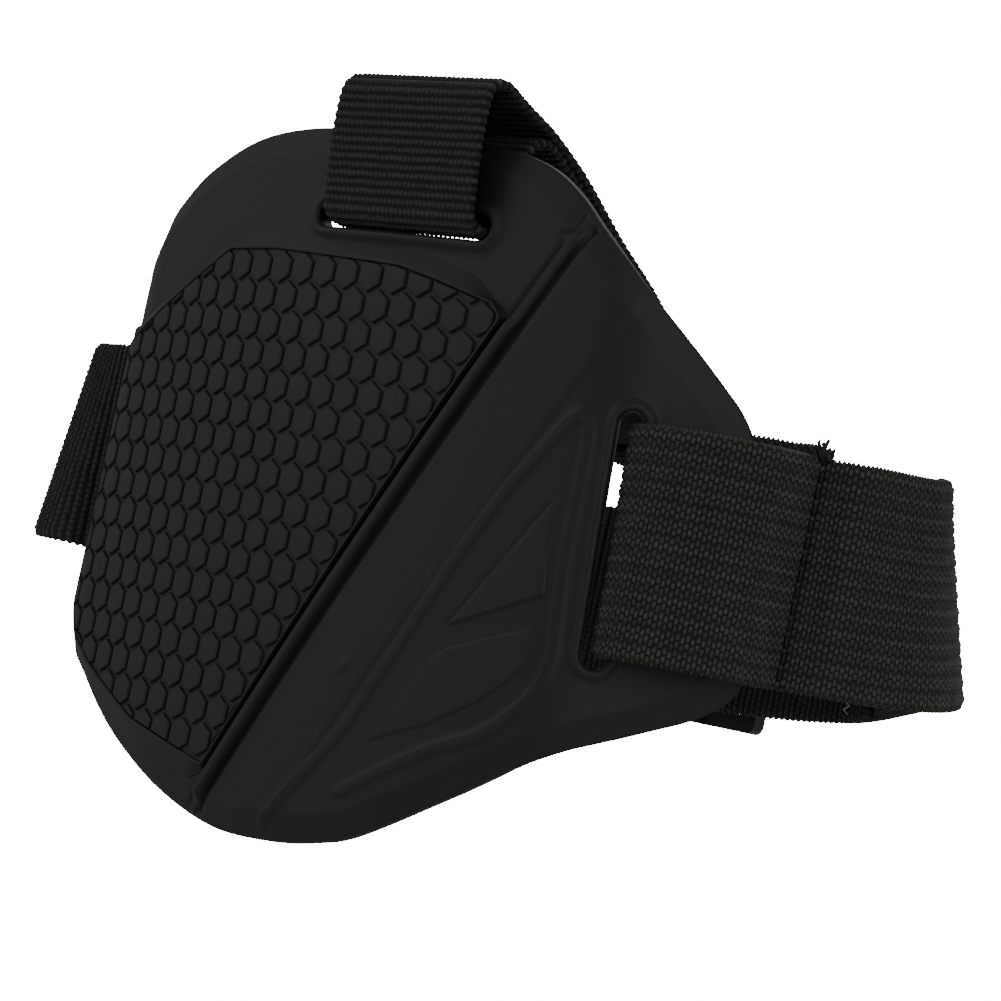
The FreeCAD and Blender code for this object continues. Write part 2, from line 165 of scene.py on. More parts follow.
def webbing_material(name, upright, light):
    """Woven polyester, laid out by the strap's own length and width.

    Upright beads stand in staggered rows; otherwise each rib across the strap is one row of yarn.
    """
    mat, nodes, links, shader = new_material(name)

    def m(operation, a, b=None, clamp=False):
        return math_node(nodes, links, operation, a, b, clamp)

    def dome(value, power):
        off_middle = m("ABSOLUTE", m("SUBTRACT", m("MULTIPLY", m("FRACT", value), 2.0), 1.0))
        return m("SUBTRACT", 1.0, m("POWER", off_middle, power))

    uv = nodes.new("ShaderNodeUVMap")
    uv.uv_map = "weave"
    split = nodes.new("ShaderNodeSeparateXYZ")
    links.new(uv.outputs["UV"], split.inputs[0])
    shake = noise_node(nodes, links, 420.0, 2.0)
    wobble = m("MULTIPLY", m("SUBTRACT", shake.outputs["Fac"], 0.5), 0.45)
    along = m("ADD", split.outputs["X"], wobble)
    column = m("FLOOR", along)
    parity = m("PINGPONG", column, 1.0)
    stagger = m("MULTIPLY", parity, ROW_STAGGER if upright else RIB_STAGGER)
    width = m("ADD", m("ADD", split.outputs["Y"], stagger), wobble)
    dome_along = dome(along, 2.0)
    dome_across = dome(width, 2.4)
    if upright:
        height = m("MULTIPLY", m("POWER", dome_along, 0.7), m("POWER", dome_across, 0.8))
        wave = m("SINE", m("MULTIPLY", split.outputs["Y"], BAND_TURN))
        band = m("ADD", 0.76, m("MULTIPLY", wave, 0.24))
    else:
        height = m("MULTIPLY", m("POWER", dome_along, 1.5),
                   m("ADD", 0.35, m("MULTIPLY", dome_across, 0.65)))
        band = m("ADD", 0.82, m("MULTIPLY", parity, 0.18))
    height = m("MULTIPLY", height, band)
    patch = noise_node(nodes, links, 260.0, 4.0)
    fibre = noise_node(nodes, links, 2600.0, 3.0, 0.7)
    # painted shade: the colour darkens into the gaps between yarns and is lightest on the bead and rib
    # tops, following the weave's height; patches and fibres add random tone
    shade = m("MULTIPLY", m("ADD", 0.55, m("MULTIPLY", patch.outputs["Fac"], 0.6)),
              m("ADD", 0.10, m("MULTIPLY", height, 0.95)))
    shade = m("MULTIPLY", shade, m("ADD", 0.45, m("MULTIPLY", fibre.outputs["Fac"], 1.1)), True)
    tint = ramp_between(nodes, links, shade, 0.04, 0.95, WEB_GAP_PAINTED_SHADE, light)
    links.new(tint.outputs["Color"], shader.inputs["Base Color"])
    shader.inputs["Roughness"].default_value = 0.72
    shader.inputs["Specular IOR Level"].default_value = 0.30
    shader.inputs["Sheen Weight"].default_value = 0.05
    shader.inputs["Sheen Roughness"].default_value = 0.5
    add_bumps(nodes, links, shader, [(height, 1.0, 0.00045), (fibre.outputs["Fac"], 0.6, 0.00016)])
    return mat


def thread_material(name, dark, light):
    mat, nodes, links, shader = new_material(name)
    twist = nodes.new("ShaderNodeTexWave")
    twist.inputs["Scale"].default_value = 900.0
    twist.inputs["Distortion"].default_value = 2.0
    coord = nodes.new("ShaderNodeTexCoord")
    links.new(coord.outputs["Object"], twist.inputs["Vector"])
    tint = ramp_between(nodes, links, twist.outputs["Fac"], 0.1, 0.9, dark, light)
    links.new(tint.outputs["Color"], shader.inputs["Base Color"])
    shader.inputs["Roughness"].default_value = 0.6
    add_bumps(nodes, links, shader, [(twist.outputs["Fac"], 0.4, 0.0001)])
    return mat


def plastic_material():
    mat, nodes, links, shader = new_material("moulded_acetal")
    cloud = noise_node(nodes, links, 140.0, 4.0)
    grain = noise_node(nodes, links, 1500.0, 2.0)
    colour = ramp_between(nodes, links, cloud.outputs["Fac"], 0.3, 0.7, PLASTIC_DARK, PLASTIC_LIGHT)
    links.new(colour.outputs["Color"], shader.inputs["Base Color"])
    gloss = range_node(nodes, links, cloud.outputs["Fac"], 0.20, 0.34)
    links.new(gloss.outputs["Result"], shader.inputs["Roughness"])
    add_bumps(nodes, links, shader, [(grain.outputs["Fac"], 0.12, 0.0001)])
    return mat


rubber = rubber_material()
row_webbing = webbing_material("elastic_webbing", True, ROW_YARN_LIGHT)
rib_webbing = webbing_material("ribbed_webbing", False, RIB_YARN_LIGHT)
plastic = plastic_material()
threads = {
    "black_thread": thread_material("black_thread", BLACK_THREAD_DARK, BLACK_THREAD_LIGHT),
    "white_thread": thread_material("white_thread", WHITE_THREAD_DARK, WHITE_THREAD_LIGHT),
}


def add_piece(name, verts, faces, mat, body, *nodes, slot=None, smooth=True, closed=True):
    """One piece from points in metres, riding a body and standing in for the named nodes."""
    mesh = bpy.data.meshes.new(name)
    mesh.from_pydata([tuple(v) for v in verts], [], faces)
    mesh.update()
    if closed:
        work = bmesh.new()
        work.from_mesh(mesh)
        bmesh.ops.recalc_face_normals(work, faces=work.faces)
        work.to_mesh(mesh)
        work.free()
    mesh.polygons.foreach_set("use_smooth", [smooth] * len(mesh.polygons))
    mesh.materials.append(mat)
    obj = bpy.data.objects.new(name, mesh)
    bpy.context.scene.collection.objects.link(obj)
    if body:
        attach(obj, body)
    if nodes:
        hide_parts(*nodes)
    return obj


# ---- the shell, in millimetres -----------------------------------------------------------------
# A point of the shell is given by u, its distance from the middle along the curve, by its height z
# and by its rise h above the plain front face.
FRONT_Y = -60.0
SHELL_RADIUS = 267.0
PANEL_HALF = 57.0
BEND_RADIUS = 20.0
BEND_ANGLE = math.radians(35)
BEND_LENGTH = BEND_RADIUS * BEND_ANGLE
THICK = 3.0


def on_shell(u, z, h):
    """Place flat points on the shell: a gently curved panel, a tight bend, a straight wing."""
    u, z, h = np.asarray(u, float), np.asarray(z, float), np.asarray(h, float)
    side, w = np.sign(u), np.abs(u)
    turn = np.minimum(w, PANEL_HALF) / SHELL_RADIUS
    after = turn + np.clip(w - PANEL_HALF, 0, BEND_LENGTH) / BEND_RADIUS
    wing = np.maximum(w - PANEL_HALF - BEND_LENGTH, 0)
    x = SHELL_RADIUS * np.sin(turn) + BEND_RADIUS * (np.sin(after) - np.sin(turn))
    y = SHELL_RADIUS * (1 - np.cos(turn)) + BEND_RADIUS * (np.cos(turn) - np.cos(after))
    x = x + wing * np.cos(after) + h * np.sin(after)
    y = y + wing * np.sin(after) - h * np.cos(after) + FRONT_Y
    return np.stack([side * x, y, z + 0 * x], -1) * MM


OUTLINE = [
    (-1, 62.4), (-19, 62.1), (-34.8, 59.6), (-49.6, 53.6), (-57.5, 48), (-63.1, 43.5),
    (-74, 34), (-83.5, 25), (-90, 13.5), (-93.8, -3), (-93.5, -18), (-84, -25.5), (-73, -29.5),
    (-63.1, -34), (-54.2, -40.8), (-40, -48.8), (-21.7, -56), (-4.1, -60), (10, -60),
    (22, -58.2), (31.8, -55), (49.7, -45), (63.1, -36.9), (79.4, -29.2), (89.3, -23.9),
    (93.8, -17.5), (93.4, -4), (90.7, 10), (86.9, 21.4), (79.1, 29.6), (63.1, 42.9),
    (55.2, 49.2), (48.8, 54.6), (41.5, 58.6), (31.2, 60.9), (15, 62.1),
]


def closed_curve(points, steps):
    """Smooth closed curve through the points, with this many steps between neighbours."""
    p = np.array(points, float)
    a, b, c, d = np.roll(p, 1, 0), p, np.roll(p, -1, 0), np.roll(p, -2, 0)
    out = []
    for k in range(steps):
        t = k / steps
        out.append(0.5 * (2 * b + (c - a) * t + (2 * a - 5 * b + 4 * c - d) * t ** 2
                          + (3 * b - a - 3 * c + d) * t ** 3))
    return np.stack(out, 1).reshape(-1, 2)


def signed_area(p):
    return 0.5 * np.sum(p[:, 0] * np.roll(p[:, 1], -1) - p[:, 1] * np.roll(p[:, 0], -1))


def ring_normals(ring):
    """Outward normals of a closed ring."""
    tangent = np.roll(ring, -1, 0) - np.roll(ring, 1, 0)
    tangent /= np.linalg.norm(tangent, axis=1)[:, None]
    normal = np.stack([tangent[:, 1], -tangent[:, 0]], 1)
    return normal if signed_area(ring) > 0 else -normal


def stadium(centre, tilt, length, width, out, flat=40, turn=14, upright=True):
    """Ring of a slot with round ends, moved outwards by out."""
    radius = width / 2 + out
    reach = (length - width) / 2
    pts = []
    for k in range(flat):
        pts.append((radius, -reach + 2 * reach * k / flat))
    for k in range(turn):
        a = math.pi * k / turn
        pts.append((radius * math.cos(a), reach + radius * math.sin(a)))
    for k in range(flat):
        pts.append((-radius, reach - 2 * reach * k / flat))
    for k in range(turn):
        a = math.pi + math.pi * k / turn
        pts.append((radius * math.cos(a), -reach + radius * math.sin(a)))
    pts = np.array(pts)
    if not upright:
        pts = np.stack([-pts[:, 1], pts[:, 0]], 1)
    c, s = math.cos(tilt), math.sin(tilt)
    return np.stack([pts[:, 0] * c - pts[:, 1] * s, pts[:, 0] * s + pts[:, 1] * c], 1) + centre


# each slot: its middle, its tilt, and whether it stands upright
WING_SLOT_U = 68.6
SLOT_TILT = 2.7
TILT = math.radians(SLOT_TILT)
SLOTS = [
    ((WING_SLOT_U, 0.0), TILT, True),
    ((-WING_SLOT_U, 2.4), -TILT, True),
    ((12.3, 47.1), 0.0, False),
]
SLOT_LENGTH, SLOT_WIDTH = 42, 4.4
# the raised lip round a slot: distance out from the slot's wall and rise, from outside to back
LIP_REACH = 2.3
LIP = [(LIP_REACH, None), (1.9, 0.15), (1.5, 0.62), (1.0, 0.86), (0.55, 0.84), (0.2, 0.6),
       (0.0, 0.2), (0.0, -2.6), (0.4, -THICK)]


def slot_clearance(p):
    """Distance from points to the nearest slot's lip, negative inside it."""
    clear = np.full(len(p), np.inf)
    for centre, tilt, upright in SLOTS:
        ring = stadium(centre, tilt, SLOT_LENGTH, SLOT_WIDTH, LIP_REACH, 8, 8, upright)
        clear = np.minimum(clear, -inside_depth(p, ring))
    return clear


def distance_to_path(p, path):
    best = np.full(len(p), np.inf)
    path = np.array(path, float)
    for a, b in zip(path[:-1], path[1:]):
        d = b - a
        t = np.clip(((p - a) @ d) / (d @ d), 0, 1)
        best = np.minimum(best, np.linalg.norm(p - a - t[:, None] * d, axis=1))
    return best


def inside_depth(p, polygon):
    """Distance inside a polygon, negative outside."""
    poly = np.array(polygon, float)
    dist = distance_to_path(p, np.vstack([poly, poly[:1]]))
    return np.where(is_inside(p, poly), dist, -dist)


def is_inside(p, polygon):
    poly = np.array(polygon, float)
    inside = np.zeros(len(p), bool)
    for a, b in zip(poly, np.roll(poly, -1, 0)):
        cross = (a[1] > p[:, 1]) != (b[1] > p[:, 1])
        at = (b[0] - a[0]) * (p[:, 1] - a[1]) / (b[1] - a[1] + 1e-12) + a[0]
        inside ^= cross & (p[:, 0] < at)
    return inside


def step(x, low, high):
    """Smooth rise from 0 at low to 1 at high."""
    t = np.clip((x - low) / (high - low), 0, 1)
    return t * t * (3 - 2 * t)


# The slanting line runs from the shell's top right to its bottom left. Distances "across" it are
# measured from the shell's middle towards the bottom right.
SLANT = np.array([0.495, 0.869])
SLANT_OUT = np.array([0.869, -0.495])
RIB_AT = 20.55
GROOVE_AT = 22.7
BAND_END = 38.0
# the surface's points stand close together from here on, and in rows along the rib and grooves
FINE_FROM = 17.7
SLANT_ROWS = (18.3, 18.55, 18.8, 19.1, 19.35, 19.6, 19.85, 20.1, 20.6, 21.0, 21.25, 21.45, 21.65,
              21.9, 22.3, 22.7, 22.95, 23.1, 23.35, 23.6, 23.9)
# the raised outline on the plain side, and the raised triangle and fin inside it
RIDGE = [(10, -57), (13.6, -52.5), (24.4, -38.6), (32.4, -23.6), (41.4, -6), (48.5, 6), (55.4, 15.4),
         (57.2, 17.8), (58.8, 18.9), (60.5, 18), (61.3, 15.2), (61.6, -4.9), (62.4, -15.2),
         (62.9, -19.4), (62.4, -24), (60, -28.4), (56, -32.6), (51.6, -35.6), (43.5, -39),
         (34, -44.4), (26, -49.4)]
TRIANGLE = [(57.0, 4.0), (41.6, -18.7), (59.3, -10.9)]
FIN = [(30.3, -39.8), (35.4, -32.3), (39.6, -25), (42.5, -22.6), (50, -19.6), (58.8, -16.6),
       (59.6, -19), (58.6, -22.2), (55.6, -25.8), (51, -29.8), (41.7, -35.2)]
# foot of the hexagon field's pad, and edge of the floor that the studs stand on
FIELD_BASE = [(-33, 41.4), (-23.5, 43), (-13, 43.3), (16, 42.2), (24, 41.0), (31.8, 39.2),
              (40.5, 33.1), (-8.7, -53.4), (-17.8, -53.0), (-28.4, -51.3), (-49.8, -41.8),
              (-59, -36.5), (-64, -29), (-64, 21.5), (-58.2, 27), (-42.1, 35.4)]
FIELD = [(-31.5, 39.4), (-18, 40.0), (15, 39.0), (24.5, 37.3), (37.4, 34.4), (39.4, 32.4),
         (-7.4, -49.9), (-13.2, -48.8), (-30.9, -45.3), (-49.2, -37.9), (-57, -33.5),
         (-62.6, -27), (-62.6, 20.6), (-50, 28.6)]
FIELD_RISE = 0.9
STUD_RISE = 0.55
HEX_PITCH = 6.0
HEX_FACE = 0.865
SMALLEST_STUD = 1.6
STUD_TOP = FIELD_RISE + STUD_RISE
# a stud's side: distance in from its foot, and rise
STUD = ((0.0, FIELD_RISE - 0.1), (0.06, FIELD_RISE + 0.30), (0.14, FIELD_RISE + 0.46), (0.30, STUD_TOP))

RIM_INSET, RIM_WIDTH, RIM_DROP = 4.3, 3.4, 0.95
BAND_RISE = 0.26
RIDGE_RISE = 0.42
RIB_RISE = 1.3
# the two dark lines beside the rib: place across the slant, half width, depth
GROOVES = ((19.1, 0.2, 0.5), (22.3, 0.45, 1.1))
GATE, GATE_RISE = (21.5, -28.5), 0.30


def front_height(p):
    """Moulded relief of the shell's front, at points (u, z)."""
    h = np.zeros(len(p))
    across = p @ SLANT_OUT
    rim = inside_depth(p, outline_inner)
    h -= RIM_DROP * np.clip(-rim / RIM_WIDTH, 0, 1)
    right_of = step(across, GROOVE_AT + 0.7, GROOVE_AT + 1.2)
    band = right_of * (1 - step(across, BAND_END - 0.9, BAND_END + 0.4))
    h += BAND_RISE * band
    ridge = distance_to_path(p, RIDGE)
    h += RIDGE_RISE * (1 - step(ridge, 0.55, 1.35)) * (1 - 0.35 * (1 - step(ridge, 0, 0.6)))
    triangle = inside_depth(p, TRIANGLE)
    downhill = np.array([0.41, -0.91])
    slope = np.clip(((p - np.array(TRIANGLE[0])) @ downhill) / 21.0, 0, 1)
    h += (0.05 + 0.50 * slope) * step(triangle, -0.12, 0.12)
    h -= 0.16 * (1 - step(distance_to_path(p, [TRIANGLE[0], TRIANGLE[1]]), 0.1, 0.5))
    fin = inside_depth(p, FIN)
    under = np.clip((p[:, 0] * 0.35 - p[:, 1] - 36) / 12.0, 0, 1)
    h += (0.08 + 0.24 * under) * step(fin, -0.12, 0.12)
    rib = np.abs(across - RIB_AT)
    along = p @ SLANT
    ends = step(rim, -2.2, 0.6) * (1 - 0.75 * step(along, 47, 50.5)) * (1 - step(-along, 52, 55))
    h += RIB_RISE * (1 - step(rib, 0.65, 1.05)) * ends
    for middle, half, deep in GROOVES:
        h -= deep * (1 - step(np.abs(across - middle), half, half + 0.4))
    h += 0.22 * (1 - step(np.abs(across - 23.3), 0.1, 0.5))
    gate = np.linalg.norm(p - np.array(GATE), axis=1)
    h += GATE_RISE * (1 - step(gate, 0.3, 1.8))
    return h


outline = closed_curve(OUTLINE, 28)
outline_normal = ring_normals(outline)
outline_inner = (outline - outline_normal * RIM_INSET)[::4]
# from the front face round to the back face: distance in from the outline, and rise
EDGE = ((0.6, -0.98), (0.15, -1.08), (-0.2, -1.32), (-0.25, -2.6), (0.1, -THICK))


def add_ring(verts, ring, h):
    """Append a ring of flat points at rise h, and return their numbers."""
    start = sum(len(v) for v in verts)
    verts.append(np.column_stack([ring, np.broadcast_to(h, len(ring))]))
    return list(range(start, start + len(ring)))


def join(faces, rings, flip=False):
    """Quads between each ring and the next one."""
    for a, b in zip(rings[:-1], rings[1:]):
        n = len(a)
        for i in range(n):
            j = (i + 1) % n
            quad = (a[i], a[j], b[j], b[i])
            faces.append(quad[::-1] if flip else quad)


def fill(verts, loops, extra, height):
    """Triangles between the first loop and the others, through the extra points."""
    flat = np.vstack(verts)[:, :2]
    pts = np.vstack([flat[ids] for ids in loops] + [extra])
    edges, at = [], 0
    for ids in loops:
        n = len(ids)
        edges += [(at + k, at + (k + 1) % n) for k in range(n)]
        at += n
    known = [i for ids in loops for i in ids]
    co, _, tri, orig, _, _ = delaunay_2d_cdt([Vector(q) for q in pts], edges, [], 0, 1e-5)
    co = np.array([tuple(q) for q in co])
    # points that lie on the loops keep their numbers, the others are new
    mapping = {}
    fresh = []
    for i, source in enumerate(orig):
        hit = [s for s in source if s < len(known)]
        if hit:
            mapping[i] = known[hit[0]]
        else:
            mapping[i] = len(flat) + len(fresh)
            fresh.append(i)
    verts.append(np.column_stack([co[fresh], height(co[fresh])]))
    centre = np.array([co[list(t)].mean(0) for t in tri])
    keep = is_inside(centre, flat[loops[0]])
    for ids in loops[1:]:
        keep &= ~is_inside(centre, flat[ids])
    return [tuple(mapping[i] for i in t) for t, k in zip(tri, keep) if k]


def staggered(u, z, shift):
    """Grid points with every second row moved sideways."""
    return np.array([(a + (k % 2) * shift, b) for k, b in enumerate(z) for a in u])


def shell_grid(spacing, margin, fine=None):
    """Staggered points inside the outline: on the fine side of the slant, off it, or all."""
    u = np.arange(-98, 98, spacing)
    z = np.arange(-64, 66, spacing * 0.866)
    g = staggered(u, z, spacing / 2)
    keep = inside_depth(g, outline[::4]) > margin
    keep &= slot_clearance(g) > spacing * 0.6
    if fine is not None:
        across = g @ SLANT_OUT
        keep &= (across > FINE_FROM) if fine else (across <= FINE_FROM)
    return g[keep]


def front_points():
    """Points of the front face: close together on the plain side, and in rows along every edge."""
    fine = shell_grid(0.55, 5.6, True)
    coarse = shell_grid(1.6, 6.2, False)
    rim_rows = np.vstack([outline - outline_normal * d for d in (2.4, 3.3, 3.7, 4.05, 4.4, 4.9)])
    rim_rows = rim_rows[slot_clearance(rim_rows) > 0.5]
    steps = np.arange(-64, 64, 0.6)
    lines = [steps[:, None] * SLANT + SLANT_OUT * across for across in SLANT_ROWS]
    for corners in (TRIANGLE, FIN):
        loop = np.array(corners + corners[:1], float)
        for a, b in zip(loop[:-1], loop[1:]):
            d = b - a
            t = np.linspace(0, 1, max(int(np.linalg.norm(d) / 0.45), 1), endpoint=False)[:, None]
            square = np.array([d[1], -d[0]]) / np.linalg.norm(d)
            lines += [a + d * t + square * off for off in (-0.32, -0.12, 0.08, 0.2)]
    lines = np.vstack(lines)
    lines = lines[inside_depth(lines, outline[::4]) > 1.9]
    across = fine @ SLANT_OUT
    clear = (across > SLANT_ROWS[-1] + 0.2) | (across < SLANT_ROWS[0] - 0.2)
    clear &= np.abs(inside_depth(fine, TRIANGLE)) > 0.42
    clear &= np.abs(inside_depth(fine, FIN)) > 0.42
    return np.vstack([fine[clear], coarse, rim_rows, lines])


def build_shell():
    verts, faces = [], []
    # edge of the shell, from the front face round to the back face
    front = outline - outline_normal * 1.5
    rings = [add_ring(verts, front, front_height(front))]
    for inset, h in EDGE:
        rings.append(add_ring(verts, outline - outline_normal * inset, h))
    join(faces, rings, flip=True)
    front_loops, back_loops = [rings[0]], [rings[-1]]
    for centre, tilt, upright in SLOTS:
        lip = []
        for out, h in LIP:
            ring = stadium(centre, tilt, SLOT_LENGTH, SLOT_WIDTH, out, upright=upright)
            lip.append(add_ring(verts, ring, front_height(ring) if h is None else h))
        join(faces, lip)
        front_loops.append(lip[0])
        back_loops.append(lip[-1])
    faces.extend(fill(verts, front_loops, front_points(), front_height))
    under = fill(verts, back_loops, shell_grid(3.0, 2.0), lambda p: np.full(len(p), -THICK))
    faces.extend([t[::-1] for t in under])
    return on_shell(*np.vstack(verts).T), faces


add_piece("shell_moulding", *build_shell(), rubber, "guard", "shield", slot="shell_rubber")


# ---- the hexagon grip field --------------------------------------------------------------------
def clip_to(polygon, edge_a, edge_b):
    """Part of a polygon on the left of the line from edge_a to edge_b."""
    out = []
    n = len(polygon)
    d = edge_b - edge_a

    def side(q):
        return d[0] * (q[1] - edge_a[1]) - d[1] * (q[0] - edge_a[0])

    for i in range(n):
        p, q = polygon[i], polygon[(i + 1) % n]
        sp, sq = side(p), side(q)
        if sp >= 0:
            out.append(p)
        if (sp >= 0) != (sq >= 0):
            t = sp / (sp - sq)
            out.append(p + (q - p) * t)
    return out


def ccw(polygon):
    p = np.array(polygon, float)
    return p if signed_area(p) > 0 else p[::-1]


def inset_polygon(p, d):
    """Move every side of a convex polygon inwards by d."""
    n = len(p)
    out = []
    for i in range(n):
        a, b, c = p[i - 1], p[i], p[(i + 1) % n]
        e1, e2 = (b - a) / np.linalg.norm(b - a), (c - b) / np.linalg.norm(c - b)
        n1, n2 = np.array([-e1[1], e1[0]]), np.array([-e2[1], e2[0]])
        m = n1 + n2
        out.append(b + m * d / max(m @ n1, 0.25))
    return np.array(out)


def tidy_polygon(p, least=0.12):
    """Drop corners that are closer together than the least distance."""
    keep = []
    for q in p:
        if not keep or np.linalg.norm(q - keep[-1]) > least:
            keep.append(q)
    if len(keep) > 1 and np.linalg.norm(keep[0] - keep[-1]) <= least:
        keep.pop()
    return np.array(keep)


def resample(polygon, count):
    """Evenly spaced points round a polygon."""
    loop = np.vstack([polygon, polygon[:1]])
    length = np.r_[0, np.cumsum(np.linalg.norm(np.diff(loop, axis=0), axis=1))]
    s = np.linspace(0, length[-1], count, endpoint=False)
    return np.column_stack([np.interp(s, length, loop[:, k]) for k in (0, 1)])


def nearest_on(polygon, q):
    """The point of a polygon's edge that is nearest to q."""
    nearest = []
    for a, b in zip(polygon, np.roll(polygon, -1, 0)):
        d = b - a
        nearest.append(a + d * min(max(((q - a) @ d) / (d @ d), 0), 1))
    return min(nearest, key=lambda r: np.linalg.norm(q - r))


def add_pad(verts, faces):
    """The raised pad under the hexagons: a chamfered skirt and a flat floor."""
    rim = resample(ccw(FIELD), 520)
    rim_normal = ring_normals(rim)
    crest = rim + rim_normal * 0.55
    outer = ccw(FIELD_BASE)
    foot = np.array([nearest_on(outer, q) for q in crest])
    skirt = [
        add_ring(verts, foot, -0.8),
        add_ring(verts, foot * 0.97 + crest * 0.03, 0.12),
        add_ring(verts, foot * 0.10 + crest * 0.90, STUD_TOP - 0.12),
        add_ring(verts, crest, STUD_TOP - 0.03),
        add_ring(verts, rim + rim_normal * 0.22, STUD_TOP - 0.06),
        add_ring(verts, rim, FIELD_RISE),
    ]
    join(faces, skirt)
    g = staggered(np.arange(-64, 44, 1.5), np.arange(-56, 44, 1.3), 0.75)
    g = g[inside_depth(g, rim) > 0.6]
    faces.extend(fill(verts, skirt[-1:], g, lambda p: np.full(len(p), FIELD_RISE)))


def add_stud(verts, faces, poly):
    """One stud with rounded edges and a slightly domed top."""
    rings = [add_ring(verts, inset_polygon(poly, inset), h) for inset, h in STUD]
    join(faces, rings)
    top = inset_polygon(poly, STUD[-1][0])
    hub = add_ring(verts, top.mean(0)[None], STUD_TOP + 0.04)[0]
    for k in range(len(poly)):
        faces.append((rings[-1][k], rings[-1][(k + 1) % len(poly)], hub))


def build_field():
    """The pad and its hexagons, which are cut off where they meet the edge of the field."""
    verts, faces = [], []
    add_pad(verts, faces)
    inner = ccw(FIELD)
    field_edges = list(zip(inner, np.roll(inner, -1, 0)))
    corner_reach = HEX_PITCH / 2 * HEX_FACE / math.cos(math.radians(30))
    row_step = HEX_PITCH * math.sin(math.radians(60))
    turns = [math.radians(60 * k) for k in range(6)]
    corners = [np.array([math.sin(a), math.cos(a)]) * corner_reach for a in reversed(turns)]
    for j in range(-10, 14):
        for i in range(-22, 22):
            middle = np.array([HEX_PITCH * (i - 1 - j / 2.0), 11.0 - row_step * j])
            if not (-70 < middle[0] < 46 and -58 < middle[1] < 46):
                continue
            poly = [middle + corner for corner in corners]
            for a, b in field_edges:
                if len(poly) > 2:
                    poly = clip_to(poly, a, b)
            if len(poly) < 3:
                continue
            poly = tidy_polygon(poly)
            if len(poly) < 3 or abs(signed_area(poly)) < SMALLEST_STUD:
                continue
            add_stud(verts, faces, ccw(poly))
    return on_shell(*np.vstack(verts).T), faces


add_piece("hexagon_grip_field", *build_field(), rubber, "guard", "shield", slot="shell_rubber",
          smooth=False, closed=False)


# ---- straps, in millimetres --------------------------------------------------------------------
WEB_WIDTH, WEB_THICK = 38.0, 1.8
# length of one rib along the strap, and width of one yarn across it
ROW_PITCH, ROW_YARN = 0.80, 1.36
RIB_PITCH, RIB_YARN = 1.45, 1.15
PATH_STEPS = 24


def curve_through(points, steps):
    """Smooth open curve through rows of numbers, with this many steps between neighbours."""
    p = np.array(points, float)
    p = np.vstack([2 * p[0] - p[1], p, 2 * p[-1] - p[-2]])
    out = []
    for i in range(1, len(p) - 2):
        a, b, c, d = p[i - 1], p[i], p[i + 1], p[i + 2]
        for k in range(steps):
            t = k / steps
            out.append(0.5 * (2 * b + (c - a) * t + (2 * a - 5 * b + 4 * c - d) * t ** 2
                              + (3 * b - a - 3 * c + d) * t ** 3))
    out.append(p[-2])
    return np.array(out)


def wing_point(side, s, n):
    """Point beside a wing's slot: s out along the wing and n above its front face."""
    u = side * WING_SLOT_U
    origin = on_shell(u, 0, 0) / MM
    heading = PANEL_HALF / SHELL_RADIUS + BEND_ANGLE
    along = np.array([side * math.cos(heading), math.sin(heading)])
    normal = np.array([side * math.sin(heading), -math.cos(heading)])
    return origin[:2] + along * s + normal * n


# the loop of webbing through a wing's slot: distance along the wing, rise, share of the slot's tilt
WING_LOOP = [
    (32, -1.6, 0), (29.2, -1.7, 0), (26.5, -4.4, 0), (20, -6.6, 0), (12, -7.2, 0), (5, -6.2, 0),
    (1.6, -4.2, 0.5), (0.6, -1.5, 1), (1.2, 1.3, 0.5), (3.6, 4.4, 0), (9, 7.2, 0), (16, 8.0, 0),
    (22, 6.6, 0), (26.5, 3.0, 0), (29.5, 0.5, 0), (33.5, 0.6, 0), (38, 1.4, 0),
]
IN_SLOT = 7
LOOP_SEAM = 14.3


def wing_loop(side, z_free, z_slot, z_out, bulge, lean):
    """Path points (x, y, z, lean in degrees) of one loop, from its free end through the slot."""
    points = []
    for i, (s, n, tilt) in enumerate(WING_LOOP):
        if i < IN_SLOT:
            z = z_slot + (z_free - z_slot) * min(((IN_SLOT - i) / 4.0) ** 1.5, 1.0)
            out, turn = 1.0, 0.0
        else:
            z = z_slot + (z_out - z_slot) * (i - IN_SLOT) / (len(WING_LOOP) - 1 - IN_SLOT)
            out = bulge if n > 2 else 1.0
            turn = lean if n > 4 else (lean / 2.0 if n > 2 else 0.0)
        x, y = wing_point(side, s, n * out)
        points.append((x, y, z, turn - side * tilt * SLOT_TILT))
    return points


# height of the buckle, and the places of the socket's and the plug's webbing bars
BUCKLE_Z, SOCKET_BAR_X, PLUG_BAR_X = -6.0, -41.0, -83.3
# each path: points (x, y, z, lean in degrees)
RIGHT = wing_loop(1, 3.0, 0.0, 1.3, 1.0, 0.0) + [
    (96.1, -10, 1.9, 5), (95.9, -1.3, 2.8, 9), (90.9, 7.6, 3.9, 14), (82.4, 16.5, 5, 16),
    (70.4, 27.5, 4, 11), (56.8, 38.5, 2.2, 5), (49.4, 44.2, 1.2, 2.5), (41, 48.8, -0.1, 0),
    (33, 50.1, -1.0, 0)]
BACK = [(45.9, 43.9, 0.5, 2.2), (40.2, 46.85, -0.5, 0.5), (33, 48.1, -1.4, 0), (24, 48.8, -2.2, 0),
        (10, 49, -3.2, 0), (-8, 49, -4.0, 0), (-22, 49, -5.0, 0), (-28, 49, -5.6, 0)]
BACK += [(SOCKET_BAR_X + x, y, BUCKLE_Z, 0) for x, y in (
    (7.0, 47.7), (2.0, 46.3), (-1.2, 46.4), (-3.0, 48.9), (-1.2, 51.6), (2.2, 51.4), (4.7, 50.4),
    (7.4, 50.7))]
LEFT = wing_loop(-1, 6.2, 2.4, 2.2, 1.40, -6.2) + [
    (-98, -10, 2.6, 0), (-103, 2, 1, 0), (-108, 15, -2.5, 0), (-109.5, 28, -5, 0),
    (-105.5, 38.5, BUCKLE_Z, 0), (-99, 44, BUCKLE_Z, 0)]
